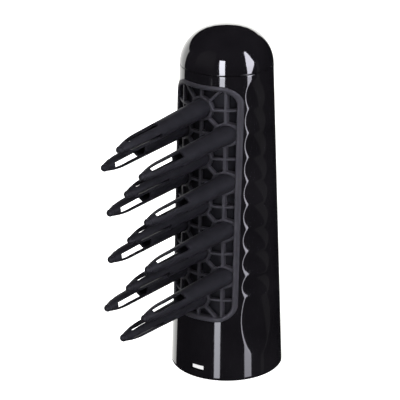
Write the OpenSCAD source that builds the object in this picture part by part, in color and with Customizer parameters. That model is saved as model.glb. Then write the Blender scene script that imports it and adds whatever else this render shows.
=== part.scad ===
// Diffuser attachment for a hair dryer: a tapered tube with a domed end, a front
// lattice panel and thirteen hollow air fingers. The origin is the centre of the
// open lower rim, +Z runs up the tube and the fingers point along -Y.

/* [Tube] */
// Outer diameter at the open lower rim
rim_d = 54; // [50:0.5:58]
// Outer diameter at the dome seam
seam_d = 43.8; // [42:0.2:46]
// Height of the dome seam above the rim
seam_z = 151; // [150:0.5:154]
// Wall thickness
wall = 2; // [1.8:0.1:2.2]

/* [Dome] */
// Height of the dome above the seam
dome_h = 17.2; // [16:0.2:19]
// Radius that rounds the shoulder of the dome
shoulder_r = 17.3; // [16:0.1:17.3]
// Radius of the flat crown
crown_r = 41.8; // [40:0.5:60]

/* [Socket] */
// Bore that slides over the dryer's outlet
socket_d = 46; // [44:0.1:46.4]
// Depth of the socket
socket_depth = 22; // [16:1:26]
// Width of the catch slot
slot_w = 7.6; // [6:0.1:8.4]
// Height of the catch slot
slot_h = 3; // [2:0.1:3.4]
// Height of the catch slot's centre above the rim
slot_z = 5.1; // [4:0.1:6]

/* [Grip] */
// How far each scallop is flattened, from 0 like the tube to 1 for a flat face
grip_flatness = 0.72; // [0.4:0.02:0.74]
// Angle from the fingers round to the grip's near edge, at the height of the rim
grip_edge_rim = 45.6; // [45:0.2:47]
// The same angle at the height of the dome seam
grip_edge_seam = 55.7; // [55:0.1:57]
// Angle from the fingers round to the grip's far edge
grip_end = 86.5; // [84:0.5:88]

/* [Lattice] */
// Half width of the panel
panel_half_w = 18; // [17.8:0.1:18.4]
// Height of the panel's lower edge
panel_z0 = 30.3; // [29:0.1:32]
// Height of the panel's upper edge
panel_z1 = 146.2; // [145:0.1:146.6]
// Corner radius of the panel
panel_corner_r = 9; // [7:0.5:10]
// Width of the panel's border
border_w = 2.3; // [2:0.1:2.6]
// Width of the lattice ribs
rib_w = 1.1; // [0.9:0.1:1.4]

/* [Fingers] */
// Distance between fingers of one column
pitch = 23.33; // [23:0.05:23.6]
// Sideways distance of the outer columns
column_x = 11.35; // [11:0.05:11.6]
// Height of the middle finger of the centre column
middle_z = 88; // [87:0.1:89]
// Reach of the middle finger's ball end from the tube's axis
reach = 78.6; // [70:0.2:84]
// Extra reach of the end fingers, per step from the middle squared
reach_curve = 1.72; // [0:0.02:2]
// Radius of a finger where it leaves the lattice
finger_root_r = 4.55; // [4.4:0.05:4.6]
// Radius of the ball at a finger's end
ball_r = 1.75; // [1.6:0.05:1.9]
// Wall thickness of a finger
finger_wall = 1.1; // [0.9:0.05:1.3]
// Length of the air windows
window_len = 22.5; // [18:0.5:24]
// Angle that each air window opens
window_angle = 57; // [46:1:60]

/* [Hidden] */
$fn = 96;

gloss_black = [0.05, 0.05, 0.06];
matt_grey = [0.24, 0.24, 0.26];
matt_charcoal = [0.16, 0.16, 0.18];
inner_black = [0.1, 0.1, 0.11];
silicone_grey = [0.3, 0.3, 0.32];
steel = [0.7, 0.7, 0.72];

// The tube's outer radius falls by this much for each millimetre of height
taper = (rim_d - seam_d) / 2 / seam_z;
lean = atan(taper);
// Half of the open joint line under the dome
seam_gap = 0.15;
// Layers of the front, as distances inward from the tube's outer face
border_proud = 0.6;
rib_sink = 0.3;
rib_back = 2.3;
flange_front = 2.35;
flange_back = 3.45;
plate_front = 3.5;
plate_back = 4.9;
// The opening in the tube's wall under the panel
lip_w = 1.1;
fit_gap = 0.1;
// Extra length that lets a cutter pass clean through a face
through = 1;
// Finger profile: a straight taper, then a rounded nose of this length and radius
nose_len = 14.5;
nose_r = 54;
nose_root_r = 3.55;
// The air windows start this far behind the ball's centre
window_start = 4.8;
// The first window faces up on a centre finger; on a side finger this far up from sideways
side_roll = 5;
// The fingers tilt with the front face and lean in slightly towards the middle
tip_pitch = 22.5;
tip_lift = 2;
tip_x = 10.05;
side_reach = 0.7;
flange_r = 5.6;
ring_r = 6.2;
ring_hole_r = 4.7;
feed_hole_r = 3.3;
// Screws that hold the clamp plate to the panel
screw_r = 0.9;
screw_head_r = 1.9;
screw_head_h = 1.3;
screw_len = 5;
boss_r = 2;
screw_places = [[0, 1.5], [0, -1.5], [-column_x, 0], [column_x, 0]];
// Stop ring of the sleeve, and the seal in the groove under it
stop_h = 2;
stop_r = 19.8;
seal_h = 2;
seal_outer_r = socket_d / 2 + 0.5;
seal_inner_r = stop_r + 0.4;
// Room round the catch slot in the sleeve behind it
catch_room = 2.6;
// Dome spigot
spigot_len = 4.4;
spigot_wall = 1.6;
// Grip: scallops of half the finger pitch, with a long one below
scallop_h = pitch / 2;
scallops = 9;
scallop_reach = 8.2;
last_scallop_z = 30;
last_scallop_reach = 18.5;
// The axis of the grip's cutter lies this many tube radii beyond the tube's own axis
cutter_shift = grip_flatness / (1 - grip_flatness);
cutter_swing = 60;

function radius_at(z) = rim_d / 2 - taper * z;
function level_z(n) = middle_z + n * pitch;

// A solid bounded by the tube's outer face moved inward by inset
module tapered_core(inset, z0, z1) {
    translate([0, 0, z0])
        cylinder(h = z1 - z0, r1 = radius_at(z0) - inset, r2 = radius_at(z1) - inset);
}

// The layer between two insets
module tapered_layer(front, back, z0, z1) {
    difference() {
        tapered_core(front, z0, z1);
        tapered_core(back, z0 - through, z1 + through);
    }
}

// Extrudes a front outline, drawn as x and height, through the front of the tube
module from_front() {
    rotate([90, 0, 0])
        linear_extrude(height = rim_d / 2 + through)
            children();
}

module rounded_outline(half_w, z0, z1, r) {
    translate([-half_w + r, z0])
        square([2 * (half_w - r), z1 - z0]);
    translate([-half_w, z0 + r])
        square([2 * half_w, z1 - z0 - 2 * r]);
    for (x = [-half_w + r, half_w - r])
        for (z = [z0 + r, z1 - r])
            translate([x, z])
                circle(r = r);
}

module panel_outline(inset) {
    rounded_outline(panel_half_w - inset, panel_z0 + inset, panel_z1 - inset, panel_corner_r - inset);
}

function grip_edge(z) = grip_edge_rim + (grip_edge_seam - grip_edge_rim) * z / seam_z;

// Direction of the grip's middle line at a height, and the cutter's axis there
function grip_middle(z) = (grip_end + grip_edge(z)) / 2 - 90;
function grip_way(z) = [cos(grip_middle(z)), sin(grip_middle(z)), 0];
function cutter_axis(z) = [0, 0, z] - cutter_shift * radius_at(z) * grip_way(z);
function grip_depth(z) = grip_flatness * radius_at(z) * (1 - cos((grip_end - grip_edge(z)) / 2));

// The deepest point of a scallop, as distance from the cutter's axis and place along it
function on_cutter(point, along) = let (s = (point - cutter_axis(0)) * along)
    [norm(point - cutter_axis(0) - s * along), s];

// Outline of one scallop beside the cutter's axis, running out at reach
module scallop(z, reach, along, slope) {
    round_r = reach * reach / 2 / grip_depth(z);
    place = on_cutter([0, 0, z] + (radius_at(z) - grip_depth(z)) * grip_way(z), along);
    translate(place + round_r * [cos(slope), -sin(slope)])
        circle(r = round_r, $fn = 180);
}

// Cutter of one grip: scallops turned about one tilted axis that lies beyond the tube's
module grip_side() {
    span = cutter_axis(seam_z) - cutter_axis(0);
    along = span / norm(span);
    low = on_cutter(radius_at(0) * grip_way(0), along);
    high = on_cutter([0, 0, seam_z] + radius_at(seam_z) * grip_way(seam_z), along);
    slope = atan2(high[0] - low[0], high[1] - low[1]);
    translate(cutter_axis(0))
        rotate([0, acos(along[2]), atan2(along[1], along[0])])
            rotate([0, 0, grip_middle(seam_z / 2) - atan2(along[1], along[0]) - cutter_swing / 2])
                rotate_extrude(angle = cutter_swing)
                    intersection() {
                        union() {
                            for (i = [0 : scallops - 1])
                                scallop(middle_z + scallop_h * (4.5 - i), scallop_reach, along, slope);
                            scallop(last_scallop_z, last_scallop_reach, along, slope);
                        }
                        translate([high[0] - wall - through, 0])
                            square([low[0] - high[0] + wall + 3 * through, seam_z + rim_d]);
                    }
}

// A window through the front of the tube's lower end
module low_window(w, h) {
    translate([-w / 2, -rim_d / 2 - through, slot_z - h / 2])
        cube([w, rim_d / 4, h]);
}

module housing_shell() {
    color(gloss_black)
        difference() {
            tapered_core(0, 0, seam_z - seam_gap);
            tapered_core(wall, -through, seam_z + through);
            from_front() panel_outline(lip_w);
            low_window(slot_w, slot_h);
            grip_side();
            mirror([1, 0, 0]) grip_side();
        }
}

// The dome's outline: shoulder arc tangent to the leaning wall, then the crown arc
module dome_profile(inset) {
    shoulder_x = seam_d / 2 - shoulder_r * cos(lean);
    shoulder_z = seam_z - shoulder_r * sin(lean);
    crown_z = seam_z + dome_h - crown_r;
    meet = atan2(shoulder_z - crown_z, shoulder_x);
    intersection() {
        union() {
            translate([shoulder_x, shoulder_z])
                circle(r = shoulder_r - inset, $fn = 180);
            intersection() {
                translate([0, crown_z])
                    circle(r = crown_r - inset, $fn = 180);
                polygon([[0, crown_z], [0, crown_z + 2 * crown_r],
                         [2 * crown_r * cos(meet), crown_z + 2 * crown_r * sin(meet)]]);
            }
            translate([0, seam_z - spigot_len - through])
                square([shoulder_x, spigot_len + through + dome_h / 2]);
        }
        translate([0, seam_z + seam_gap - (inset > 0 ? through : 0)])
            square([seam_d, dome_h + through]);
    }
}

module dome_cap() {
    color(gloss_black) {
        difference() {
            union() {
                rotate_extrude() dome_profile(0);
                tapered_core(wall + fit_gap, seam_z - spigot_len, seam_z + seam_gap);
            }
            rotate_extrude() dome_profile(wall + spigot_wall);
            tapered_core(wall + fit_gap + spigot_wall, seam_z - spigot_len - through, seam_z + seam_gap);
        }
    }
}

// Places a finger's own frame, +Z along the finger, with its origin at the lattice
module at_finger(x, n) {
    root = [x, -sqrt(pow(radius_at(level_z(n)) - rib_sink, 2) - x * x), level_z(n)];
    along = finger_tip(x, n) - root;
    tilt = atan2(along[2], norm([along[0], along[1]]));
    yaw = atan2(along[0], -along[1]);
    translate(root)
        rotate([90 - tilt, 0, yaw])
            children();
}

function side_of(x) = x == 0 ? 0 : 1;
function finger_tip(x, n) = [
    sign(x) * tip_x,
    -(reach + side_of(x) * side_reach + reach_curve * n * n),
    middle_z + tip_lift + n * tip_pitch,
];
function finger_len(x, n) = norm(finger_tip(x, n)
    - [x, -sqrt(pow(radius_at(level_z(n)) - rib_sink, 2) - x * x), level_z(n)]);

// Half outline of a finger of this length, shrunk by inset
module finger_profile(len, inset, tail) {
    nose_z = len - nose_len;
    polygon([[0, -tail], [finger_root_r - inset, -tail], [finger_root_r - inset, 0],
             [nose_root_r - inset, nose_z], [0, nose_z]]);
    intersection() {
        translate([nose_root_r - nose_r, nose_z])
            circle(r = nose_r - inset, $fn = 240);
        translate([0, nose_z])
            square([finger_root_r, nose_len - inset]);
    }
}

module window_cutter(len) {
    translate([0, 0, len - window_start - window_len])
        rotate([0, 0, -window_angle / 2])
            rotate_extrude(angle = window_angle)
                translate([ball_r / 2, 0])
                    square([finger_root_r + through, window_len]);
}

// Hollow finger with three air windows and a curved flange that sits behind the lattice
module finger(x, n) {
    len = finger_len(x, n);
    tail = x == 0 ? 6 : 12;
    roll = 90 + sign(x) * (90 - side_roll);
    color(matt_charcoal)
        difference() {
            union() {
                at_finger(x, n) {
                    rotate_extrude() finger_profile(len, 0, tail);
                    translate([0, 0, len])
                        sphere(r = ball_r);
                }
                intersection() {
                    tapered_core(flange_front, 0, seam_z);
                    at_finger(x, n)
                        translate([0, 0, -tail - through])
                            cylinder(h = tail + 2 * through, r = flange_r);
                }
            }
            tapered_core(flange_back, 0, seam_z);
            at_finger(x, n) {
                rotate_extrude() finger_profile(len, finger_wall, tail + 2 * through);
                for (turn = [0, 120, 240])
                    rotate([0, 0, roll + turn])
                        window_cutter(len);
            }
        }
}

// Every finger's place: [x, level]
centre_levels = [2, 1, 0, -1, -2];
side_levels = [1.5, 0.5, -0.5, -1.5];
finger_places = concat(
    [for (n = centre_levels) [0, n]],
    [for (n = side_levels) [-column_x, n]],
    [for (n = side_levels) [column_x, n]]);

// A straight rib between two points of the front outline
module rib(a, b) {
    span = b - a;
    translate(a)
        rotate(atan2(span[1], span[0]))
            translate([0, -rib_w / 2])
                square([norm(span), rib_w]);
}

module lattice_outline() {
    for (place = finger_places)
        translate([place[0], level_z(place[1])])
            circle(r = ring_r, $fn = 8);
    for (x = [-column_x, 0, column_x])
        rib([x, panel_z0 + border_w / 2], [x, panel_z1 - border_w / 2]);
    for (n = concat(centre_levels, side_levels))
        rib([-panel_half_w + border_w / 2, level_z(n)], [panel_half_w - border_w / 2, level_z(n)]);
    for (n = centre_levels)
        for (side = [-1, 1])
            for (rise = [-0.5, 0.5])
                rib([0, level_z(n)], [side * (column_x - 2), level_z(n + rise) - rise * 4]);
}

module grille_panel() {
    color(matt_grey) {
        difference() {
            union() {
                // Border inside the opening, and the lip that lies on the wall
                intersection() {
                    tapered_layer(-border_proud, rib_back, 0, seam_z);
                    from_front() difference() {
                        panel_outline(lip_w + fit_gap);
                        panel_outline(border_w);
                    }
                }
                intersection() {
                    tapered_layer(-border_proud, 0, 0, seam_z);
                    from_front() difference() {
                        panel_outline(0);
                        panel_outline(lip_w + fit_gap);
                    }
                }
                intersection() {
                    tapered_layer(rib_sink, rib_back, 0, seam_z);
                    from_front() intersection() {
                        lattice_outline();
                        panel_outline(border_w - fit_gap);
                    }
                }
                // Screw bosses behind the rib crossings
                intersection() {
                    tapered_layer(rib_sink, flange_back, 0, seam_z);
                    for (place = screw_places)
                        at_screw(place)
                            cylinder(h = rim_d / 2, r = boss_r);
                }
            }
            for (place = finger_places)
                at_finger(place[0], place[1])
                    translate([0, 0, -rim_d / 4])
                        cylinder(h = rim_d / 2, r = ring_hole_r);
            for (place = screw_places)
                at_screw(place)
                    cylinder(h = screw_depth(place) + screw_len, r = screw_r - fit_gap);
        }
    }
}

// A screw's frame points out of the front, with its origin on the tube's axis plane
module at_screw(place) {
    translate([place[0], 0, level_z(place[1])])
        rotate([90, 0, 0])
            children();
}

// Distance from the axis plane to the back of the clamp plate at a screw
function screw_depth(place) = sqrt(pow(radius_at(level_z(place[1])) - plate_back, 2) - place[0] * place[0]);

module clamp_screws() {
    color(steel)
        for (place = screw_places)
            at_screw(place) {
                translate([0, 0, screw_depth(place) - screw_head_h])
                    cylinder(h = screw_head_h, r = screw_head_r);
                translate([0, 0, screw_depth(place) - screw_head_h / 2])
                    cylinder(h = screw_len - screw_head_h / 2, r = screw_r - fit_gap);
            }
}

// Curved plate that traps the finger flanges and feeds air to each finger
module clamp_plate() {
    color(inner_black)
        difference() {
            intersection() {
                tapered_layer(plate_front, plate_back, 0, seam_z);
                from_front() panel_outline(border_w + fit_gap);
            }
            for (place = finger_places)
                at_finger(place[0], place[1])
                    translate([0, 0, -rim_d / 2])
                        cylinder(h = rim_d / 2, r = feed_hole_r);
            for (place = screw_places)
                at_screw(place) {
                    cylinder(h = rim_d / 2, r = screw_r + fit_gap);
                    cylinder(h = screw_depth(place), r = screw_head_r + fit_gap);
                }
        }
}

// Liner of the socket, with the stop that the dryer's outlet meets
module coupling_sleeve() {
    color(inner_black)
        difference() {
            tapered_core(wall, 0, socket_depth + seal_h + stop_h);
            translate([0, 0, -through])
                cylinder(h = socket_depth + 2 * through, d = socket_d, $fn = 180);
            translate([0, 0, socket_depth])
                cylinder(h = seal_h, r = seal_outer_r, $fn = 180);
            cylinder(h = rim_d, r = stop_r, $fn = 180);
            low_window(slot_w + 2 * catch_room, slot_h + 2 * catch_room);
        }
}

module sleeve_seal() {
    color(silicone_grey)
        translate([0, 0, socket_depth])
            difference() {
                cylinder(h = seal_h, r = seal_outer_r, $fn = 180);
                translate([0, 0, -through])
                    cylinder(h = seal_h + 2 * through, r = seal_inner_r, $fn = 180);
            }
}

housing_shell();
dome_cap();
grille_panel();
clamp_plate();
coupling_sleeve();
sleeve_seal();
clamp_screws();
finger(0, 2);  // finger_c1
finger(0, 1);  // finger_c2
finger(0, 0);  // finger_c3
finger(0, -1);  // finger_c4
finger(0, -2);  // finger_c5
finger(-column_x, 1.5);  // finger_l1
finger(-column_x, 0.5);  // finger_l2
finger(-column_x, -0.5);  // finger_l3
finger(-column_x, -1.5);  // finger_l4
finger(column_x, 1.5);  // finger_r1
finger(column_x, 0.5);  // finger_r2
finger(column_x, -0.5);  // finger_r3
finger(column_x, -1.5);  // finger_r4
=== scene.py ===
"""Visual model of a hair-dryer diffuser attachment.

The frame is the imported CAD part: origin at the centre of the open lower rim, +Z up
the tube, the fingers along -Y. Lengths below are in millimetres unless they end in _m.
"""
import math

import bmesh
import bpy
import numpy as np
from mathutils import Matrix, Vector
from mathutils.geometry import delaunay_2d_cdt


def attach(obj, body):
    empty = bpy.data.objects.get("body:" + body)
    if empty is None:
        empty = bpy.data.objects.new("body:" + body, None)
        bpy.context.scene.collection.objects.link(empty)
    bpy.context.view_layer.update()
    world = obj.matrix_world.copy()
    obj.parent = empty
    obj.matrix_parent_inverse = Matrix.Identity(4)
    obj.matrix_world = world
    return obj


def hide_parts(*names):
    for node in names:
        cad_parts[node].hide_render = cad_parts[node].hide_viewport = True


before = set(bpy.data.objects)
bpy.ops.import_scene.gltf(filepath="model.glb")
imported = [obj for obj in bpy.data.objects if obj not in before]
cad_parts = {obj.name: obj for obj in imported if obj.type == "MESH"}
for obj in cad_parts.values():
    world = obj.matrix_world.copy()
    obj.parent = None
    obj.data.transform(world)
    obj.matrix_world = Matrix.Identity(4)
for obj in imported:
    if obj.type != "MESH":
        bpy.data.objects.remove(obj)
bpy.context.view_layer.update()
MM = 0.001

# The tube, as in the CAD
RIM_R = 27.0
SEAM_R = 21.9
SEAM_Z = 151.0
SEAM_GAP = 0.15
SEAM_LIP = 0.45
WALL = 2.0
SPIGOT_GAP = 0.1
SPIGOT_WALL = 1.6
SPIGOT_LEN = 4.4
DOME_H = 17.2
SHOULDER_R = 17.3
CROWN_R = 41.8
TAPER = (RIM_R - SEAM_R) / SEAM_Z
LEAN = math.atan(TAPER)
SLOT_HALF_W = 3.8
SLOT_Z0 = 3.6
SLOT_Z1 = 6.6

# The grip scallops
GRIP_FLATNESS = 0.72
GRIP_EDGE_RIM = 45.6
GRIP_EDGE_SEAM = 55.7
GRIP_END = 86.5
PITCH = 23.33
SCALLOP_H = PITCH / 2
SCALLOPS = 9
SCALLOP_REACH = 8.2
LAST_SCALLOP_Z = 30.0
LAST_SCALLOP_REACH = 18.5

# How far the grip's creases and its outer edge are rounded, and how far out the rounding starts
CREASE_SOFT = 0.03
GRIP_EDGE_SOFT = 0.07
GRIP_EDGE_START = 0.35

# Where the tube's columns stand close together for the grip's edge, in degrees
DENSE_RIM = 44.4
DENSE_SEAM = 53.8
DENSE_SPAN = 9.5

# The lattice panel
PANEL_HALF_W = 18.0
PANEL_Z0 = 30.3
PANEL_Z1 = 146.2
PANEL_CORNER_R = 9.0
BORDER_W = 2.3
BORDER_PROUD = 0.6
LIP_W = 1.1
RIB_W = 1.1
RIB_SINK = 0.3
RIB_BACK = 2.3
RIB_EDGE = 0.14
RIB_INTO_BORDER = 0.3
DIAGONAL_SHORT = 2.0
RING_R = 6.2
RING_HOLE_R = 4.72
MIDDLE_Z = 88.0
COLUMN_X = 11.35
CENTRE_LEVELS = (2, 1, 0, -1, -2)
SIDE_LEVELS = (1.5, 0.5, -0.5, -1.5)

# The fingers
REACH = 78.6
REACH_CURVE = 1.72
SIDE_REACH = 0.7
TIP_PITCH = 22.5
TIP_LIFT = 2.0
TIP_X = 10.05
FINGER_ROOT_R = 4.55
FINGER_WALL = 1.1
BALL_R = 1.75
NOSE_LEN = 14.5
NOSE_R = 54.0
NOSE_ROOT_R = 3.55
WINDOW_START = 4.8
WINDOW_LEN = 22.5
WINDOW_ANGLE = 57.0
SIDE_ROLL = 5.0
FLANGE_R = 5.6
FLANGE_FRONT = 2.35
FLANGE_BACK = 3.45
MIN_BORE_R = 0.3
TIP_THINNING = 0.5

# The bore ends, and the nose meets the ball, this far before the ball's centre
SOLID_TIP = 1.9
BALL_MEET = 0.78

# Rounding of the windows; the wall at their corners is between these two thicknesses
WINDOW_CORNER_R = 0.6
WINDOW_EDGE_R = 0.12
CORNER_WALL_MIN = 0.55
CORNER_WALL_MAX = 1.22

# Columns across each window and across each wall between windows, and rows along a finger
WINDOW_COLUMNS = 8
BRIDGE_COLUMNS = 7
ROOT_ROWS = 8
WINDOW_ROWS = 18
TIP_ROWS = 5

# The camera
CAMERA_AZIMUTH = 32.68
CAMERA_ELEVATION = 22.18
CAMERA_DISTANCE_M = 0.97727
CAMERA_TARGET_M = Vector((0.0, 0.0, 0.085))
CAMERA_LENS = 186.29
CAMERA_SHIFT = (-0.06705, -0.01435)

# The reflection cards stand this far from the tube's axis
CARD_RADIUS_M = 0.8
CARD_STEPS = 12

# The long highlights, each as places on the object: a height, the azimuths of the highlight's
# two edges, and its card's brightness. They start below the rim, so that the cards run on past it.
FRONT_GLINT = [(-45, 18.5, 24.5, 5), (29, 19.5, 26, 9), (151, 24, 30.5, 13), (152.3, 24, 30.5, 21),
               (158, 23.5, 30.5, 23)]
SIDE_GLINT = [(-45, 50.5, 58, 3), (18, 51, 58.5, 6), (150, 58, 63.5, 9), (152, 58, 63.5, 15),
              (156, 57, 69, 17), (158, 57, 66, 17), (161, 57, 60, 17)]
FAR_GLINT = [(-45, 69.5, 73.5, 0.08), (147, 71, 75, 0.12), (156, 71, 75, 0.12), (157, 72, 73, 0.1)]


def radius_at(z):
    return RIM_R - TAPER * z


def level_z(n):
    return MIDDLE_Z + n * PITCH


def direction(azimuth, elevation):
    """A unit vector; azimuth runs from the fingers' side towards +X."""
    a, e = math.radians(azimuth), math.radians(elevation)
    return Vector((math.sin(a) * math.cos(e), -math.cos(a) * math.cos(e), math.sin(e)))


# ---------------------------------------------------------------- mesh helpers

def piece_from_mesh(name, mesh, material, nodes):
    """Links a finished mesh as a piece that rides on the part and stands for CAD nodes."""
    obj = bpy.data.objects.new(name, mesh)
    bpy.context.scene.collection.objects.link(obj)
    mesh.materials.append(material)
    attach(obj, "root")
    if nodes:
        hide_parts(*nodes)
    return obj


def mesh_from(name, verts, faces):
    """A mesh from millimetre points, in metres, with unused points dropped."""
    verts = np.asarray(verts, float)
    used = sorted({i for f in faces for i in f})
    renumber = {old: new for new, old in enumerate(used)}
    mesh = bpy.data.meshes.new(name)
    mesh.from_pydata((verts[used] * MM).tolist(), [], [[renumber[i] for i in f] for f in faces])
    mesh.update()
    return mesh


def shade(mesh, sharp_angle):
    """Smooth shading with sharp edges past this angle in degrees."""
    mesh.polygons.foreach_set("use_smooth", [True] * len(mesh.polygons))
    mesh.set_sharp_from_angle(angle=math.radians(sharp_angle))
    mesh.update()


def closed_sheet(outer, inner, faces):
    """Joins an outer and an inner copy of the same faces along their open edges.
    Faces turn counter-clockwise seen from outside."""
    count = len(outer)
    all_faces = [tuple(f) for f in faces] + [tuple(count + i for i in reversed(f)) for f in faces]
    edges = {}
    for f in faces:
        for a, b in zip(f, f[1:] + f[:1]):
            edges[(a, b)] = edges.get((a, b), 0) + 1
    for a, b in edges:
        if (b, a) not in edges:
            all_faces.append((b, a, count + a, count + b))
    return np.vstack([outer, inner]), all_faces


# ---------------------------------------------------------------- tube

def grip_edge(z):
    return GRIP_EDGE_RIM + (GRIP_EDGE_SEAM - GRIP_EDGE_RIM) * z / SEAM_Z


def scallop_depth(phi, z, centre_z, reach):
    """Depth of one scallop below the tube at these angles and heights, negative outside it."""
    half = np.radians((GRIP_END - grip_edge(centre_z)) / 2)
    mid = np.radians(GRIP_END) - half
    r = radius_at(centre_z)
    depth = GRIP_FLATNESS * r * (1 - math.cos(half))
    shift = r * GRIP_FLATNESS / (1 - GRIP_FLATNESS)
    across = shift * r * (1 - np.cos(phi - mid)) / (r + shift)
    along = depth * ((z - centre_z) / reach) ** 2
    return depth - across - along


def soft_max(a, b, width):
    """The larger of two values, rounded where they meet."""
    return (a + b + np.sqrt((a - b) ** 2 + width ** 2)) / 2


def grip_depth(phi, z):
    """Depth of the whole grip, with its creases slightly rounded."""
    best = scallop_depth(phi, z, LAST_SCALLOP_Z, LAST_SCALLOP_REACH)
    for i in range(SCALLOPS):
        centre = MIDDLE_Z + SCALLOP_H * (SCALLOPS / 2 - i)
        best = soft_max(best, scallop_depth(phi, z, centre, SCALLOP_REACH), CREASE_SOFT)
    lift = GRIP_EDGE_SOFT / 2 * np.clip(1 + best / GRIP_EDGE_START, 0, 1)
    rounded = soft_max(best, 0.0, GRIP_EDGE_SOFT) - lift
    return np.maximum(np.where(best < -GRIP_EDGE_START, 0.0, rounded), 0.0)


def tube_rows():
    """Heights of the tube's rows with how far each is drawn in at the edges."""
    low, high = PANEL_Z0 + LIP_W, PANEL_Z1 - LIP_W
    rows = [(0.0, 0.35), (0.1, 0.12), (0.35, 0.0), (1.5, 0.0), (2.6, 0.0)]
    rows += [(SLOT_Z0, 0.0), ((SLOT_Z0 + SLOT_Z1) / 2, 0.0), (SLOT_Z1, 0.0)]
    rows += [(float(z), 0.0) for z in np.linspace(8.0, low, 42)]
    rows += [(float(z), 0.0) for z in np.linspace(low, high, 200)[1:]]
    rows += [(float(z), 0.0) for z in np.linspace(high, SEAM_Z - 0.7, 10)[1:]]
    rows += [(SEAM_Z - 0.35, 0.01), (SEAM_Z - 0.23, 0.04), (SEAM_Z - SEAM_GAP, 0.12)]
    return rows


def tube_columns(z):
    """Angles of the tube's columns at a height, from the front round to the front."""
    r = radius_at(z)
    front_x = [0, SLOT_HALF_W / 2, SLOT_HALF_W, 5, 6.2, 7.5, 9]
    front_x += list(np.linspace(9.8, 14.6, 7)) + [15.3, 15.9, 16.4]
    side = [math.degrees(math.asin(x / r)) for x in front_x]
    opening = math.degrees(math.asin((PANEL_HALF_W - LIP_W) / r))
    dense = DENSE_RIM + (DENSE_SEAM - DENSE_RIM) * z / SEAM_Z
    stops = [opening, dense, dense + DENSE_SPAN, GRIP_END - 3, GRIP_END + 2.5, 180.0]
    for start, end, count in zip(stops, stops[1:], (4, 14, 17, 8, 22)):
        side += list(np.linspace(start, end, count))[:-1]
    return np.array(side + [180.0] + [360.0 - a for a in side[:0:-1]])


def opening_bounds():
    """Half width, bottom, top and corner radius of the tube's opening under the panel."""
    return PANEL_HALF_W - LIP_W, PANEL_Z0 + LIP_W, PANEL_Z1 - LIP_W, PANEL_CORNER_R - LIP_W


def in_opening(x, z):
    """True inside the tube's opening under the panel."""
    half, z0, z1, r = opening_bounds()
    if abs(x) >= half or not z0 < z < z1:
        return False
    cx = max(abs(x) - (half - r), 0.0)
    cz = max(z0 + r - z, z - (z1 - r), 0.0)
    return math.hypot(cx, cz) < r


def onto_opening(x, z):
    """The nearest point of the opening's outline."""
    half, z0, z1, r = opening_bounds()
    cx = min(max(x, -(half - r)), half - r)
    cz = min(max(z, z0 + r), z1 - r)
    dx, dz = x - cx, z - cz
    d = math.hypot(dx, dz)
    if d < 1e-6:
        return x, z
    return cx + dx * r / d, cz + dz * r / d


def tube_mesh():
    """The tube's two faces, with the panel's opening, the slot and the grip's scallops."""
    rows = tube_rows()
    columns = len(tube_columns(0))
    phi = np.zeros((len(rows), columns))
    height = np.zeros_like(phi)
    for k, (z, _) in enumerate(rows):
        phi[k] = np.radians(tube_columns(z))
        height[k] = z
    x = np.array([radius_at(z) for z, _ in rows])[:, None] * np.sin(phi)
    front = (np.cos(phi) > 0) & (np.abs(x) < PANEL_HALF_W)
    faces = []
    for k in range(len(rows) - 1):
        for c in range(columns):
            d = (c + 1) % columns
            corners = [(k, c), (k, d), (k + 1, d), (k + 1, c)]
            mx = sum(x[q] for q in corners) / 4
            mz = sum(height[q] for q in corners) / 4
            if all(front[q] for q in corners):
                if in_opening(mx, mz):
                    continue
                if abs(mx) < SLOT_HALF_W and SLOT_Z0 < mz < SLOT_Z1:
                    continue
            faces.append(tuple(a * columns + b for a, b in corners))
    edges = set()
    for f in faces:
        edges.update(zip(f, f[1:] + f[:1]))
    for a, b in edges:
        if (b, a) in edges:
            continue
        for i in (a, b):
            k, c = divmod(i, columns)
            if PANEL_Z0 < height[k, c] < PANEL_Z1 and front[k, c]:
                nx, nz = onto_opening(x[k, c], height[k, c])
                height[k, c] = nz
                phi[k, c] = math.asin(nx / radius_at(nz))
    draw_in = np.array([d for _, d in rows])[:, None]
    fold = np.where(phi > math.pi, 2 * math.pi - phi, phi)
    outer_r = radius_at(height) - draw_in - grip_depth(fold, height)
    inner_r = radius_at(height) - WALL
    outer, inner = (np.stack([r * np.sin(phi), -r * np.cos(phi), height], -1).reshape(-1, 3)
                    for r in (outer_r, inner_r))
    verts, all_faces = closed_sheet(outer, inner, faces)
    mesh = mesh_from("tube_shell", verts, all_faces)
    shade(mesh, 32)
    return mesh


# ---------------------------------------------------------------- dome

def dome_arc(inset):
    """Outline of the dome from the seam to the crown, moved inward by inset."""
    cx = SEAM_R - SHOULDER_R * math.cos(LEAN)
    cz = SEAM_Z - SHOULDER_R * math.sin(LEAN)
    crown_z = SEAM_Z + DOME_H - CROWN_R
    meet = math.atan2(cz - crown_z, cx)
    shoulder, crown = SHOULDER_R - inset, CROWN_R - inset
    start = math.asin((SEAM_Z + SEAM_GAP + SEAM_LIP - cz) / shoulder)
    points = [(cx + shoulder * math.cos(t), cz + shoulder * math.sin(t))
              for t in np.linspace(start, meet, 34)]
    points += [(crown * math.cos(t), crown_z + crown * math.sin(t))
               for t in np.linspace(meet, math.pi / 2, 14)[1:]]
    return points


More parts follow.
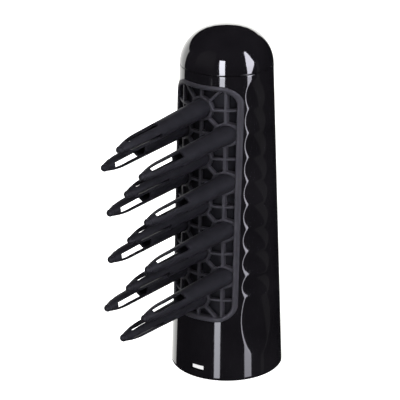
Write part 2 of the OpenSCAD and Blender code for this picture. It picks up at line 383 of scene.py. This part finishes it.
def lathe(name, profile, segments, sharp_angle):
    """A solid of revolution from an outline that starts and ends on the axis."""
    verts, faces, rings = [], [], []
    for r, z in profile:
        if r < 1e-6:
            rings.append([len(verts)])
            verts.append((0.0, 0.0, z))
            continue
        rings.append(list(range(len(verts), len(verts) + segments)))
        for k in range(segments):
            a = 2 * math.pi * k / segments
            verts.append((r * math.cos(a), r * math.sin(a), z))
    for lower, upper in zip(rings, rings[1:]):
        for k in range(segments):
            a, b = k, (k + 1) % segments
            if len(lower) == 1:
                faces.append((lower[0], upper[b], upper[a]))
            elif len(upper) == 1:
                faces.append((lower[a], lower[b], upper[0]))
            else:
                faces.append((lower[a], lower[b], upper[b], upper[a]))
    mesh = mesh_from(name, verts, faces)
    shade(mesh, sharp_angle)
    return mesh


def dome_mesh():
    """The cap, its rounded seam edge and the spigot inside the tube."""
    outer = dome_arc(0)
    inner = dome_arc(WALL + SPIGOT_WALL)
    low = SEAM_Z + SEAM_GAP
    spigot_z = SEAM_Z - SPIGOT_LEN
    spigot_out = WALL + SPIGOT_GAP
    spigot_in = spigot_out + SPIGOT_WALL
    profile = [(0.0, inner[-1][1])] + inner[-2::-1]
    profile += [(radius_at(spigot_z) - spigot_in, spigot_z), (radius_at(spigot_z) - spigot_out, spigot_z)]
    profile += [(radius_at(low) - spigot_out, low)]
    profile += [(SEAM_R - 0.13, low), (SEAM_R - 0.05, low + 0.08), (SEAM_R - 0.02, low + 0.2)]
    profile += outer[:-1] + [(0.0, outer[-1][1])]
    return lathe("dome_cover", profile, 128, 40)


# ---------------------------------------------------------------- lattice panel

def corner_points(inset, count):
    """The panel's rounded outline moved inward by inset, with count points in each corner."""
    half = PANEL_HALF_W - inset
    z0, z1, r = PANEL_Z0 + inset, PANEL_Z1 - inset, PANEL_CORNER_R - inset
    corners = [(half - r, z1 - r), (-half + r, z1 - r), (-half + r, z0 + r), (half - r, z0 + r)]
    points = []
    for quarter, (cx, cz) in enumerate(corners):
        for t in np.linspace(90 * quarter, 90 * quarter + 90, count):
            points.append((cx + r * math.cos(math.radians(t)), cz + r * math.sin(math.radians(t))))
    return points


def divided(points, step):
    """A closed outline with its long edges cut into steps."""
    out = []
    for (ax, az), (bx, bz) in zip(points, points[1:] + points[:1]):
        n = max(1, int(math.ceil(math.hypot(bx - ax, bz - az) / step - 1e-6)))
        out += [(ax + (bx - ax) * k / n, az + (bz - az) * k / n) for k in range(n)]
    return out


def rib_outline(a, b):
    """The rectangle of a rib between two points."""
    dx, dz = b[0] - a[0], b[1] - a[1]
    n = math.hypot(dx, dz)
    ox, oz = -dz / n * RIB_W / 2, dx / n * RIB_W / 2
    return [(a[0] - ox, a[1] - oz), (b[0] - ox, b[1] - oz), (b[0] + ox, b[1] + oz), (a[0] + ox, a[1] + oz)]


def circle_outline(x, z, r, sides):
    turns = [2 * math.pi * k / sides for k in range(sides)]
    return [(x + r * math.cos(t), z + r * math.sin(t)) for t in turns]


def finger_places():
    """Each finger's x and level."""
    places = [(0.0, n) for n in CENTRE_LEVELS]
    places += [(-COLUMN_X, n) for n in SIDE_LEVELS]
    places += [(COLUMN_X, n) for n in SIDE_LEVELS]
    return places


def rib_lines():
    """Every rib's two ends in the front outline."""
    edge = BORDER_W / 2
    lines = [((x, PANEL_Z0 + edge), (x, PANEL_Z1 - edge)) for x in (-COLUMN_X, 0.0, COLUMN_X)]
    lines += [((-PANEL_HALF_W + edge, level_z(n)), (PANEL_HALF_W - edge, level_z(n)))
              for n in CENTRE_LEVELS + SIDE_LEVELS]
    for n in CENTRE_LEVELS:
        for side in (-1, 1):
            for rise in (-0.5, 0.5):
                end_z = level_z(n + rise) - 2 * rise * DIAGONAL_SHORT
                lines.append(((0.0, level_z(n)), (side * (COLUMN_X - DIAGONAL_SHORT), end_z)))
    return lines


def inside(point, outline):
    """True if a point lies in a closed outline."""
    x, z = point
    hit = False
    for (ax, az), (bx, bz) in zip(outline, outline[1:] + outline[:1]):
        if (az > z) != (bz > z) and x < (bx - ax) * (z - az) / (bz - az) + ax:
            hit = not hit
    return hit


def extruded(verts, tris, front, back):
    """Flat triangles given thickness between two depths, as a bmesh of clean faces."""
    bm = bmesh.new()
    top = [bm.verts.new((x, front, z)) for x, z in verts]
    faces = [bm.faces.new([top[i] for i in t]) for t in tris]
    bmesh.ops.recalc_face_normals(bm, faces=faces)
    bmesh.ops.dissolve_limit(bm, angle_limit=0.01, verts=bm.verts[:], edges=bm.edges[:])
    bmesh.ops.remove_doubles(bm, verts=bm.verts[:], dist=0.05)
    out = bmesh.ops.extrude_face_region(bm, geom=bm.faces[:])
    moved = [g for g in out["geom"] if isinstance(g, bmesh.types.BMVert)]
    for v in moved:
        v.co.y = back
    loose = [v for v in bm.verts if not v.link_faces]
    bmesh.ops.delete(bm, geom=loose, context="VERTS")
    bmesh.ops.recalc_face_normals(bm, faces=bm.faces[:])
    return bm


def front_edges(bm, front):
    """Edges of the front face's outline."""
    found = []
    for e in bm.edges:
        if all(abs(v.co.y - front) < 1e-5 for v in e.verts) and e.calc_face_angle(0) > 1.0:
            found.append(e)
    return found


def wrap_point(x, depth, z):
    """A flat panel point at depth inward from the tube's face, placed on the tube."""
    r = radius_at(z) - depth
    return Vector((x, -math.sqrt(max(r * r - x * x, 0.0)), z))


def wrapped_mesh(name, bm, step):
    """Cuts long edges, wraps the flat shape on the tube and turns it into a mesh in metres."""
    for _ in range(6):
        long_edges = [e for e in bm.edges if e.calc_length() > step]
        if not long_edges:
            break
        bmesh.ops.subdivide_edges(bm, edges=long_edges, cuts=1, use_grid_fill=False)
    bmesh.ops.triangulate(bm, faces=[f for f in bm.faces if len(f.verts) > 4])
    for v in bm.verts:
        v.co = wrap_point(*v.co) * MM
    bmesh.ops.recalc_face_normals(bm, faces=bm.faces[:])
    mesh = bpy.data.meshes.new(name)
    bm.to_mesh(mesh)
    bm.free()
    shade(mesh, 30)
    return mesh


def grille_piece(material):
    """The lattice, with its ends sunk in the border and its front edges softened."""
    border = divided(corner_points(BORDER_W - RIB_INTO_BORDER, 13), 2.0)
    solids = [circle_outline(x, level_z(n), RING_R, 8) for x, n in finger_places()]
    solids += [rib_outline(a, b) for a, b in rib_lines()]
    holes = [circle_outline(x, level_z(n), RING_HOLE_R, 40) for x, n in finger_places()]
    points, edges = [], []
    for shape in solids + holes + [border]:
        first = len(points)
        points += [Vector(p) for p in shape]
        edges += [(first + k, first + (k + 1) % len(shape)) for k in range(len(shape))]
    verts, _, tris, _, _, _ = delaunay_2d_cdt(points, edges, [], 0, 1e-4)
    kept = []
    for t in tris:
        mid = tuple(sum(verts[i][a] for i in t) / 3 for a in (0, 1))
        if any(inside(mid, h) for h in holes) or not inside(mid, border):
            continue
        if any(inside(mid, s) for s in solids):
            kept.append(tuple(t))
    bm = extruded([tuple(v) for v in verts], kept, RIB_SINK, RIB_BACK)
    edges = front_edges(bm, RIB_SINK)
    bmesh.ops.bevel(bm, geom=edges, offset=RIB_EDGE, segments=2, profile=0.5, affect="EDGES")
    mesh = wrapped_mesh("lattice", bm, 1.6)
    return piece_from_mesh("lattice", mesh, material, ["grille_panel"])


def border_mesh():
    """The proud border, as rings of points from its inner edge over the top to the wall."""
    section = [(BORDER_W, RIB_BACK), (BORDER_W, 0.15), (BORDER_W - 0.12, -0.15), (BORDER_W - 0.35, -0.42),
               (BORDER_W - 0.65, -BORDER_PROUD), (0.35, -BORDER_PROUD), (0.12, -BORDER_PROUD + 0.1),
               (0.0, -BORDER_PROUD + 0.35), (0.0, 0.02), (LIP_W - 0.05, 0.02), (LIP_W + 0.1, 0.3),
               (LIP_W + 0.1, RIB_BACK)]
    side_cuts = {16: 16, 33: 60, 50: 16, 67: 60}
    rings, verts, faces = [], [], []
    for inset, depth in section:
        ring = corner_points(inset, 17)
        full = []
        for k, (a, b) in enumerate(zip(ring, ring[1:] + ring[:1])):
            n = side_cuts.get(k, 1)
            full += [(a[0] + (b[0] - a[0]) * j / n, a[1] + (b[1] - a[1]) * j / n) for j in range(n)]
        rings.append(list(range(len(verts), len(verts) + len(full))))
        verts += [tuple(wrap_point(x, depth, z)) for x, z in full]
    for here, there in zip(rings, rings[1:] + rings[:1]):
        for k in range(len(here)):
            j = (k + 1) % len(here)
            faces.append((here[k], here[j], there[j], there[k]))
    mesh = mesh_from("border", verts, faces)
    bm = bmesh.new()
    bm.from_mesh(mesh)
    bmesh.ops.recalc_face_normals(bm, faces=bm.faces[:])
    bm.to_mesh(mesh)
    bm.free()
    shade(mesh, 50)
    return mesh


# ---------------------------------------------------------------- fingers

def finger_root(x, n):
    """Where a finger's axis meets the lattice's front face."""
    return Vector((x, -math.sqrt((radius_at(level_z(n)) - RIB_SINK) ** 2 - x * x), level_z(n)))


def finger_tip(x, n):
    """The centre of a finger's ball end."""
    side = 0 if x == 0 else math.copysign(1, x)
    return Vector((side * TIP_X, -(REACH + abs(side) * SIDE_REACH + REACH_CURVE * n * n),
                   MIDDLE_Z + TIP_LIFT + n * TIP_PITCH))


def finger_frame(x, n):
    """Root, length and the finger's own X, Y and Z directions."""
    root = finger_root(x, n)
    along = finger_tip(x, n) - root
    z_dir = along.normalized()
    x_dir = Vector((-z_dir.y, z_dir.x, 0)).normalized()
    y_dir = z_dir.cross(x_dir)
    return root, along.length, x_dir, y_dir, z_dir


def outer_radius(t, length):
    """Outer radius of the finger at t from its root, without the ball."""
    nose = length - NOSE_LEN
    if t <= nose:
        return FINGER_ROOT_R + (NOSE_ROOT_R - FINGER_ROOT_R) * max(t, 0.0) / nose
    return NOSE_ROOT_R - NOSE_R + math.sqrt(NOSE_R ** 2 - (t - nose) ** 2)


def inner_radius(t, length):
    """Radius of the finger's bore, whose wall thins towards the tip."""
    share = (t - length + NOSE_LEN) / (NOSE_LEN - WINDOW_START)
    thinning = TIP_THINNING * min(max(share, 0.0), 1.0)
    return max(outer_radius(t, length) - FINGER_WALL + thinning, MIN_BORE_R)


def depth_along(root, point, z_dir, depth):
    """Moves a point along the finger to the cone at this depth inside the tube's face."""
    p = point.copy()
    for _ in range(12):
        r = math.hypot(p.x, p.y)
        gap = radius_at(p.z) - depth - r
        rate = (p.x * z_dir.x + p.y * z_dir.y) / r
        p = p + z_dir * (gap / max(rate, 0.3))
    return p


def finger_mesh(name, x, n):
    """A hollow finger with its flange, three windows and a ball end."""
    root, length, x_dir, y_dir, z_dir = finger_frame(x, n)
    first_window = 90.0 if x == 0 else (SIDE_ROLL if x < 0 else 180.0 - SIDE_ROLL)
    half = WINDOW_ANGLE / 2
    angles = []
    for turn in (0, 120, 240):
        centre = first_window + turn
        angles += [centre + a for a in np.linspace(-half, half, WINDOW_COLUMNS + 1)]
        bridge = np.linspace(0, 120 - WINDOW_ANGLE, BRIDGE_COLUMNS + 1)
        angles += [centre + half + a for a in bridge[1:-1]]
    columns = len(angles)
    in_window = [k % (WINDOW_COLUMNS + BRIDGE_COLUMNS) < WINDOW_COLUMNS for k in range(columns)]
    w1 = length - WINDOW_START
    w0 = w1 - WINDOW_LEN
    rows = list(np.linspace(0, w0, ROOT_ROWS + 1))
    rows += list(np.linspace(w0, w1, WINDOW_ROWS + 1))[1:]
    rows += list(np.linspace(w1, length - SOLID_TIP, TIP_ROWS + 1))[1:]
    first, last = ROOT_ROWS, ROOT_ROWS + WINDOW_ROWS
    verts, faces = [], []

    def point(angle, r, t):
        a = math.radians(angle)
        return root + x_dir * (r * math.cos(a)) + y_dir * (r * math.sin(a)) + z_dir * t

    def ring(points):
        verts.extend(tuple(p) for p in points)
        return list(range(len(verts) - columns, len(verts)))

    def join(a, b, skip=False):
        for k in range(columns):
            j = (k + 1) % columns
            if not (skip and in_window[k]):
                faces.append((a[k], a[j], b[j], b[k]))

    inner_root = FINGER_ROOT_R - FINGER_WALL
    back_in = ring([depth_along(root, point(a, inner_root, 0), z_dir, FLANGE_BACK) for a in angles])
    back_out = ring([depth_along(root, point(a, FLANGE_R, 0), z_dir, FLANGE_BACK) for a in angles])
    front_out = ring([depth_along(root, point(a, FLANGE_R, 0), z_dir, FLANGE_FRONT) for a in angles])
    front_in = ring([depth_along(root, point(a, FINGER_ROOT_R, 0), z_dir, FLANGE_FRONT) for a in angles])
    for a, b in ((back_in, back_out), (back_out, front_out), (front_out, front_in)):
        join(a, b)
    outer = [ring([point(a, outer_radius(t, length), t) for a in angles]) for t in rows]
    inner = [ring([point(a, inner_radius(t, length), t) for a in angles]) for t in rows]
    join(front_in, outer[0])
    for k in range(len(rows) - 1):
        open_here = first <= k < last
        join(outer[k], outer[k + 1], open_here)
        join(inner[k + 1], inner[k], open_here)
        if open_here:
            for c in range(columns):
                d = (c + 1) % columns
                if in_window[c] and not in_window[c - 1]:
                    faces.append((outer[k][c], outer[k + 1][c], inner[k + 1][c], inner[k][c]))
                if in_window[c] and not in_window[d]:
                    faces.append((outer[k + 1][d], outer[k][d], inner[k][d], inner[k + 1][d]))
    for c in range(columns):
        d = (c + 1) % columns
        if in_window[c]:
            faces.append((outer[first][c], outer[first][d], inner[first][d], inner[first][c]))
            faces.append((outer[last][d], outer[last][c], inner[last][c], inner[last][d]))
    join(inner[0], back_in)
    centre = len(verts)
    verts.append(tuple(root + z_dir * rows[-1]))
    for c in range(columns):
        faces.append((inner[-1][(c + 1) % columns], inner[-1][c], centre))
    tip = [(outer_radius(length - back, length), length - back) for back in (1.5, 1.15, BALL_MEET)]
    start = math.asin(-BALL_MEET / BALL_R) + 0.02
    tip += [(BALL_R * math.cos(t), length + BALL_R * math.sin(t))
            for t in np.linspace(start, math.pi / 2, 12)[:-1]]
    below = outer[-1]
    for r, t in tip:
        here = ring([point(a, r, t) for a in angles])
        join(below, here)
        below = here
    pole = len(verts)
    verts.append(tuple(root + z_dir * (length + BALL_R)))
    for c in range(columns):
        faces.append((below[c], below[(c + 1) % columns], pole))
    mesh = mesh_from(name, verts, faces)
    soften_windows(mesh)
    shade(mesh, 35)
    return mesh


def soften_windows(mesh):
    """Rounds the window corners, whose edges are as long as the wall is thick, then every sharp edge."""
    bm = bmesh.new()
    bm.from_mesh(mesh)
    bmesh.ops.recalc_face_normals(bm, faces=bm.faces[:])
    corners = [e for e in bm.edges if not e.is_boundary and e.calc_face_angle(0) > 1.2
               and CORNER_WALL_MIN * MM < e.calc_length() < CORNER_WALL_MAX * MM]
    bmesh.ops.bevel(bm, geom=corners, offset=WINDOW_CORNER_R * MM, segments=3, profile=0.5, affect="EDGES")
    edges = [e for e in bm.edges if e.calc_face_angle(0) > 0.9]
    bmesh.ops.bevel(bm, geom=edges, offset=WINDOW_EDGE_R * MM, segments=2, profile=0.5, affect="EDGES")
    bm.to_mesh(mesh)
    bm.free()


# ---------------------------------------------------------------- materials

def new_material(name):
    material = bpy.data.materials.new(name)
    material.use_nodes = True
    tree = material.node_tree
    return material, tree, tree.nodes["Principled BSDF"]


def noise(tree, scale, detail, roughness):
    """Object-space noise with features about 1/scale metres across."""
    coords = tree.nodes.new("ShaderNodeTexCoord")
    node = tree.nodes.new("ShaderNodeTexNoise")
    node.inputs["Scale"].default_value = scale
    node.inputs["Detail"].default_value = detail
    node.inputs["Roughness"].default_value = roughness
    tree.links.new(coords.outputs["Object"], node.inputs["Vector"])
    return node


def colour_from(tree, shader, source, dark, light):
    """Base colour that drifts between two colours with a noise value."""
    node = tree.nodes.new("ShaderNodeValToRGB")
    node.color_ramp.elements[0].position = 0.3
    node.color_ramp.elements[1].position = 0.7
    node.color_ramp.elements[0].color = (*dark, 1)
    node.color_ramp.elements[1].color = (*light, 1)
    tree.links.new(source.outputs["Fac"], node.inputs["Fac"])
    tree.links.new(node.outputs["Color"], shader.inputs["Base Color"])


def roughness_from(tree, shader, source, low, high):
    """Roughness that runs between two numbers with a noise value."""
    node = tree.nodes.new("ShaderNodeMapRange")
    node.inputs["To Min"].default_value = low
    node.inputs["To Max"].default_value = high
    tree.links.new(source.outputs["Fac"], node.inputs["Value"])
    tree.links.new(node.outputs["Result"], shader.inputs["Roughness"])


def bump_from(tree, shader, source, strength, distance_m):
    """Surface relief from a noise value."""
    node = tree.nodes.new("ShaderNodeBump")
    node.inputs["Strength"].default_value = strength
    node.inputs["Distance"].default_value = distance_m
    tree.links.new(source.outputs["Fac"], node.inputs["Height"])
    tree.links.new(node.outputs["Normal"], shader.inputs["Normal"])


def gloss_black():
    """Polished black moulding: faint colour drift and a hint of waviness in the gloss."""
    material, tree, shader = new_material("gloss_black")
    colour_from(tree, shader, noise(tree, 60, 2, 0.5), (0.0046, 0.0042, 0.0054), (0.0072, 0.0066, 0.0082))
    roughness_from(tree, shader, noise(tree, 900, 3, 0.6), 0.035, 0.085)
    bump_from(tree, shader, noise(tree, 45, 1, 0.4), 0.05, 0.0004)
    shader.inputs["IOR"].default_value = 1.5
    return material


def matt_plastic(name, colours, rough, grain, ior=1.47):
    """Spark-textured plastic: fine grain in the surface and slight colour drift."""
    material, tree, shader = new_material(name)
    colour_from(tree, shader, noise(tree, 160, 3, 0.55), *colours)
    fine = noise(tree, grain, 4, 0.65)
    roughness_from(tree, shader, fine, *rough)
    bump_from(tree, shader, fine, 0.25, 0.00006)
    shader.inputs["IOR"].default_value = ior
    return material


def steel():
    """Zinc-plated screw steel with a fine brushed variation."""
    material, tree, shader = new_material("steel")
    fine = noise(tree, 2500, 3, 0.6)
    colour_from(tree, shader, fine, (0.42, 0.42, 0.43), (0.6, 0.6, 0.61))
    roughness_from(tree, shader, fine, 0.25, 0.45)
    shader.inputs["Metallic"].default_value = 1.0
    return material


def paint_node(node, material):
    """Gives a CAD node that stays shown its finished material."""
    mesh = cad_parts[node].data
    for k in range(len(mesh.materials)):
        mesh.materials[k] = material
    if not mesh.materials:
        mesh.materials.append(material)


# ---------------------------------------------------------------- stage, light, camera

def make_floor():
    """A pale floor that glows a little, so that it stays near white up to the object."""
    material, _, shader = new_material("floor")
    shader.inputs["Base Color"].default_value = (0.9, 0.9, 0.9, 1)
    shader.inputs["Roughness"].default_value = 0.8
    shader.inputs["Emission Color"].default_value = (1, 1, 1, 1)
    shader.inputs["Emission Strength"].default_value = 0.9
    material.cycles.emission_sampling = "NONE"
    bpy.ops.mesh.primitive_plane_add(size=12.0, location=(0, 0, -0.0002))
    floor = bpy.context.object
    floor.name = "floor"
    floor.data.materials.append(material)
    floor.visible_glossy = False
    floor.visible_diffuse = False
    floor.visible_shadow = False


def make_light(name, azimuth, elevation, distance, size, power):
    """A soft square light that points at the middle of the object."""
    outward = direction(azimuth, elevation)
    data = bpy.data.lights.new(name, "AREA")
    data.size = size
    data.energy = power
    light = bpy.data.objects.new(name, data)
    bpy.context.scene.collection.objects.link(light)
    light.location = CAMERA_TARGET_M + outward * distance
    light.rotation_euler = outward.to_track_quat("Z", "Y").to_euler()
    light.visible_glossy = False


def make_card(name, rows, tint):
    """A glowing card on a cylinder round the object, seen only in its gloss.
    Each row is a height in metres, the two edge azimuths, and a brightness."""
    verts, faces, glow = [], [], []
    for height, left, right, bright in rows:
        for k in range(CARD_STEPS + 1):
            a = math.radians(left + (right - left) * k / CARD_STEPS)
            verts.append((CARD_RADIUS_M * math.sin(a), -CARD_RADIUS_M * math.cos(a), height))
            glow.append(bright)
    for j in range(len(rows) - 1):
        for k in range(CARD_STEPS):
            i = j * (CARD_STEPS + 1) + k
            faces.append((i, i + 1, i + CARD_STEPS + 2, i + CARD_STEPS + 1))
    mesh = bpy.data.meshes.new(name)
    mesh.from_pydata(verts, [], faces)
    attribute = mesh.attributes.new("glow", "FLOAT", "POINT")
    attribute.data.foreach_set("value", glow)
    material = bpy.data.materials.new(name)
    material.use_nodes = True
    tree = material.node_tree
    tree.nodes.clear()
    reader = tree.nodes.new("ShaderNodeAttribute")
    reader.attribute_name = "glow"
    emission = tree.nodes.new("ShaderNodeEmission")
    emission.inputs["Color"].default_value = (*tint, 1)
    output = tree.nodes.new("ShaderNodeOutputMaterial")
    tree.links.new(reader.outputs["Fac"], emission.inputs["Strength"])
    tree.links.new(emission.outputs["Emission"], output.inputs["Surface"])
    material.cycles.emission_sampling = "NONE"
    mesh.materials.append(material)
    card = bpy.data.objects.new(name, mesh)
    bpy.context.scene.collection.objects.link(card)
    card.visible_camera = False
    card.visible_diffuse = False
    card.visible_shadow = False
    card.visible_transmission = False


def mirrored(azimuth, z):
    """The camera's line of sight, mirrored in the tube or the dome's shoulder at this place, meets
    the cards' cylinder at the azimuth and the height in metres that this gives."""
    lean, r = LEAN, radius_at(z)
    if z > SEAM_Z:
        lean = math.asin((z - SEAM_Z) / SHOULDER_R + math.sin(LEAN))
        r = SEAM_R + SHOULDER_R * (math.cos(lean) - math.cos(LEAN))
    normal = direction(azimuth, math.degrees(lean))
    point = direction(azimuth, 0) * r * MM + Vector((0, 0, z * MM))
    sight = (point - camera_place()).normalized()
    ray = sight - 2 * sight.dot(normal) * normal
    a = ray.x ** 2 + ray.y ** 2
    b = point.x * ray.x + point.y * ray.y
    c = point.x ** 2 + point.y ** 2 - CARD_RADIUS_M ** 2
    hit = point + ray * (math.sqrt(b * b - a * c) - b) / a
    return math.degrees(math.atan2(hit.x, -hit.y)), hit.z


def make_glint(name, places, tint):
    """A card where the camera sees a highlight at these places on the object."""
    rows = []
    for z, left, right, bright in places:
        (left_card, left_m), (right_card, right_m) = mirrored(left, z), mirrored(right, z)
        rows.append(((left_m + right_m) / 2, left_card, right_card, bright))
    make_card(name, rows, tint)


def make_world():
    """White to the camera and as soft light all round, but not seen in the gloss."""
    world = bpy.data.worlds.new("studio")
    bpy.context.scene.world = world
    world.use_nodes = True
    background = world.node_tree.nodes["Background"]
    background.inputs["Color"].default_value = (1, 1, 1, 1)
    background.inputs["Strength"].default_value = 1.0
    world.cycles_visibility.glossy = False


def make_lights():
    """Soft lights for the matt parts, and cards for the highlights of the glossy ones."""
    bpy.context.scene.view_settings.view_transform = "Standard"
    make_light("key", 70, 50, 1.2, 0.7, 9)
    make_light("fill", 10, 30, 1.4, 0.9, 3)
    make_light("top", -60, 75, 1.3, 0.9, 3)
    make_glint("strip_front", FRONT_GLINT, (0.95, 0.96, 1.06))
    make_glint("strip_side", SIDE_GLINT, (0.95, 0.94, 1.06))
    make_glint("strip_far", FAR_GLINT, (1, 1, 1))
    make_card("haze_front", [(0.1, -50, 2, 0.0), (0.35, -50, 2, 0.08), (0.7, -50, 2, 0.1),
                             (1.2, -35, -5, 0.06)], (1, 1, 1))
    make_card("backdrop", [(-0.42, -97, -172, 1.8), (-0.1, -89, -172, 2.2), (0.1, -85, -172, 2.6),
                           (0.36, -85, -172, 2.6)], (1, 1, 0.98))


def camera_place():
    return CAMERA_TARGET_M + direction(CAMERA_AZIMUTH, CAMERA_ELEVATION) * CAMERA_DISTANCE_M


def make_camera():
    data = bpy.data.cameras.new("camera")
    data.sensor_width = 36
    data.lens = CAMERA_LENS
    data.shift_x, data.shift_y = CAMERA_SHIFT
    data.clip_end = 20
    camera = bpy.data.objects.new("camera", data)
    bpy.context.scene.collection.objects.link(camera)
    camera.location = camera_place()
    camera.rotation_euler = direction(CAMERA_AZIMUTH, CAMERA_ELEVATION).to_track_quat("Z", "Y").to_euler()
    bpy.context.scene.camera = camera


# ---------------------------------------------------------------- assembly

make_camera()
make_floor()
make_world()
make_lights()

GLOSS = gloss_black()
GREY = matt_plastic("matt_grey", ((0.021, 0.02, 0.025), (0.03, 0.0287, 0.035)), (0.45, 0.58), 5000, 1.27)
CHARCOAL = matt_plastic("matt_charcoal", ((0.0082, 0.0079, 0.0103), (0.0122, 0.0118, 0.015)),
                        (0.45, 0.58), 5000, 1.2)
INNER = matt_plastic("inner_black", ((0.006, 0.0058, 0.0076), (0.009, 0.0087, 0.0114)),
                     (0.42, 0.52), 3000, 1.15)
SILICONE = matt_plastic("silicone", ((0.06, 0.06, 0.064), (0.08, 0.08, 0.085)), (0.55, 0.7), 1500)

piece_from_mesh("tube_shell", tube_mesh(), GLOSS, ["housing_shell"])
piece_from_mesh("dome_cover", dome_mesh(), GLOSS, ["dome_cap"])
grille_piece(GREY)
piece_from_mesh("border", border_mesh(), GREY, [])

FINGER_COLUMNS = (("c", CENTRE_LEVELS, 0.0), ("l", SIDE_LEVELS, -COLUMN_X), ("r", SIDE_LEVELS, COLUMN_X))
for column, levels, x in FINGER_COLUMNS:
    for k, n in enumerate(levels):
        node = f"finger_{column}{k + 1}"
        piece_from_mesh(f"{node}_body", finger_mesh(node, x, n), CHARCOAL, [node])

paint_node("clamp_plate", INNER)
paint_node("coupling_sleeve", INNER)
paint_node("sleeve_seal", SILICONE)
paint_node("clamp_screws", steel())
